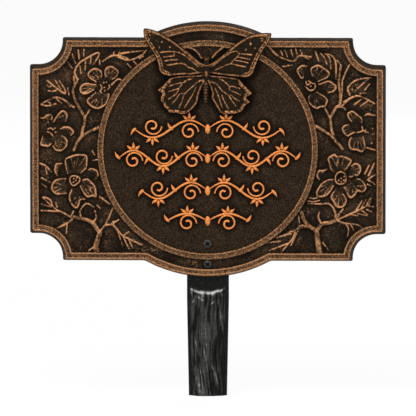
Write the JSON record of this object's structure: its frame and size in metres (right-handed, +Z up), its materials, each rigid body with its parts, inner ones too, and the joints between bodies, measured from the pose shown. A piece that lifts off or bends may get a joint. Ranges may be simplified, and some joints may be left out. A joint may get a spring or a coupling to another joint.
{
  "type": "garden plaque on a stake",
  "caption": "Cast garden plaque with scalloped corners, round moulding, blossom relief and an applied butterfly, bolted to a tapered ground stake with a rough-hewn front.",
  "frame": {"origin": "on the stake's centre line, level with the soil, in the plane of the plate's back", "axes": "+Z up along the stake, +X to the right of someone reading the plaque, the plaque faces -Y"},
  "size_m": [0.368, 0.0297, 0.6756],
  "materials": {
    "antique_bronze": "dark bronze paint on a sand casting, rubbed through to copper on raised edges",
    "rubbed_copper": "the same paint with rubbed copper on rims and veins",
    "black_enamel": "satin black enamel on a sand casting",
    "dark_zinc": "black zinc plate",
    "bright_zinc": "bright zinc plate"
  },
  "bodies": {
    "root": {"plaque_plate": "antique_bronze", "butterfly": "rubbed_copper", "butterfly_screw_upper": "bright_zinc", "butterfly_screw_lower": "bright_zinc", "stake": "black_enamel", "stake_screw_upper": "dark_zinc", "stake_screw_lower": "dark_zinc", "lock_washer_upper": "bright_zinc", "lock_washer_lower": "bright_zinc", "hex_nut_upper": "bright_zinc", "hex_nut_lower": "bright_zinc"}
  },
  "joints": []
}
